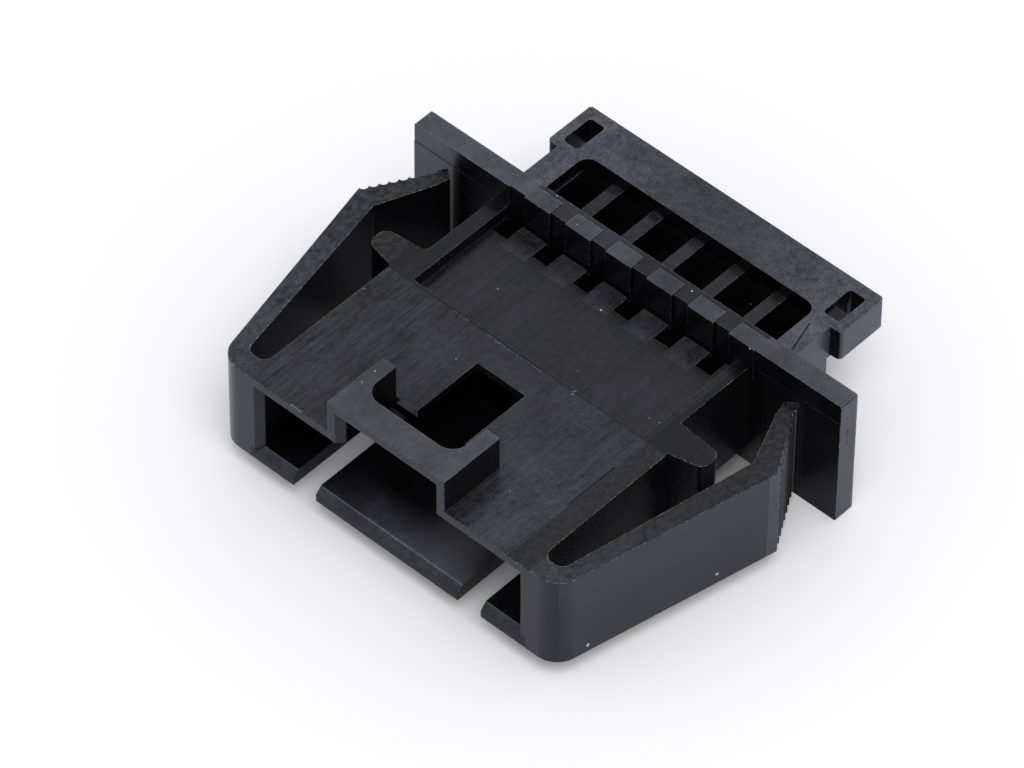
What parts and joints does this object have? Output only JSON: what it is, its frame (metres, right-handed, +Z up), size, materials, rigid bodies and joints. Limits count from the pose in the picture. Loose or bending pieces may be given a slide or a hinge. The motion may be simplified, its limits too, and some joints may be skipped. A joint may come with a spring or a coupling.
{
  "type": "wire to board connector housing",
  "caption": "Panel-mount crimp connector housing with a shrouded mouth, keying bump, flange and two side latch arms.",
  "frame": {"origin": "middle of the bounding box's base, level with the flange's bottom edge", "axes": "+X along the contact row, -Y out of the mating mouth, +Y towards the wires, +Z up through the keying bump"},
  "size_m": [0.0266, 0.024, 0.0084],
  "materials": {
    "housing_plastic": "matt moulded charcoal black"
  },
  "bodies": {
    "root": {"housing": "housing_plastic"}
  },
  "joints": []
}
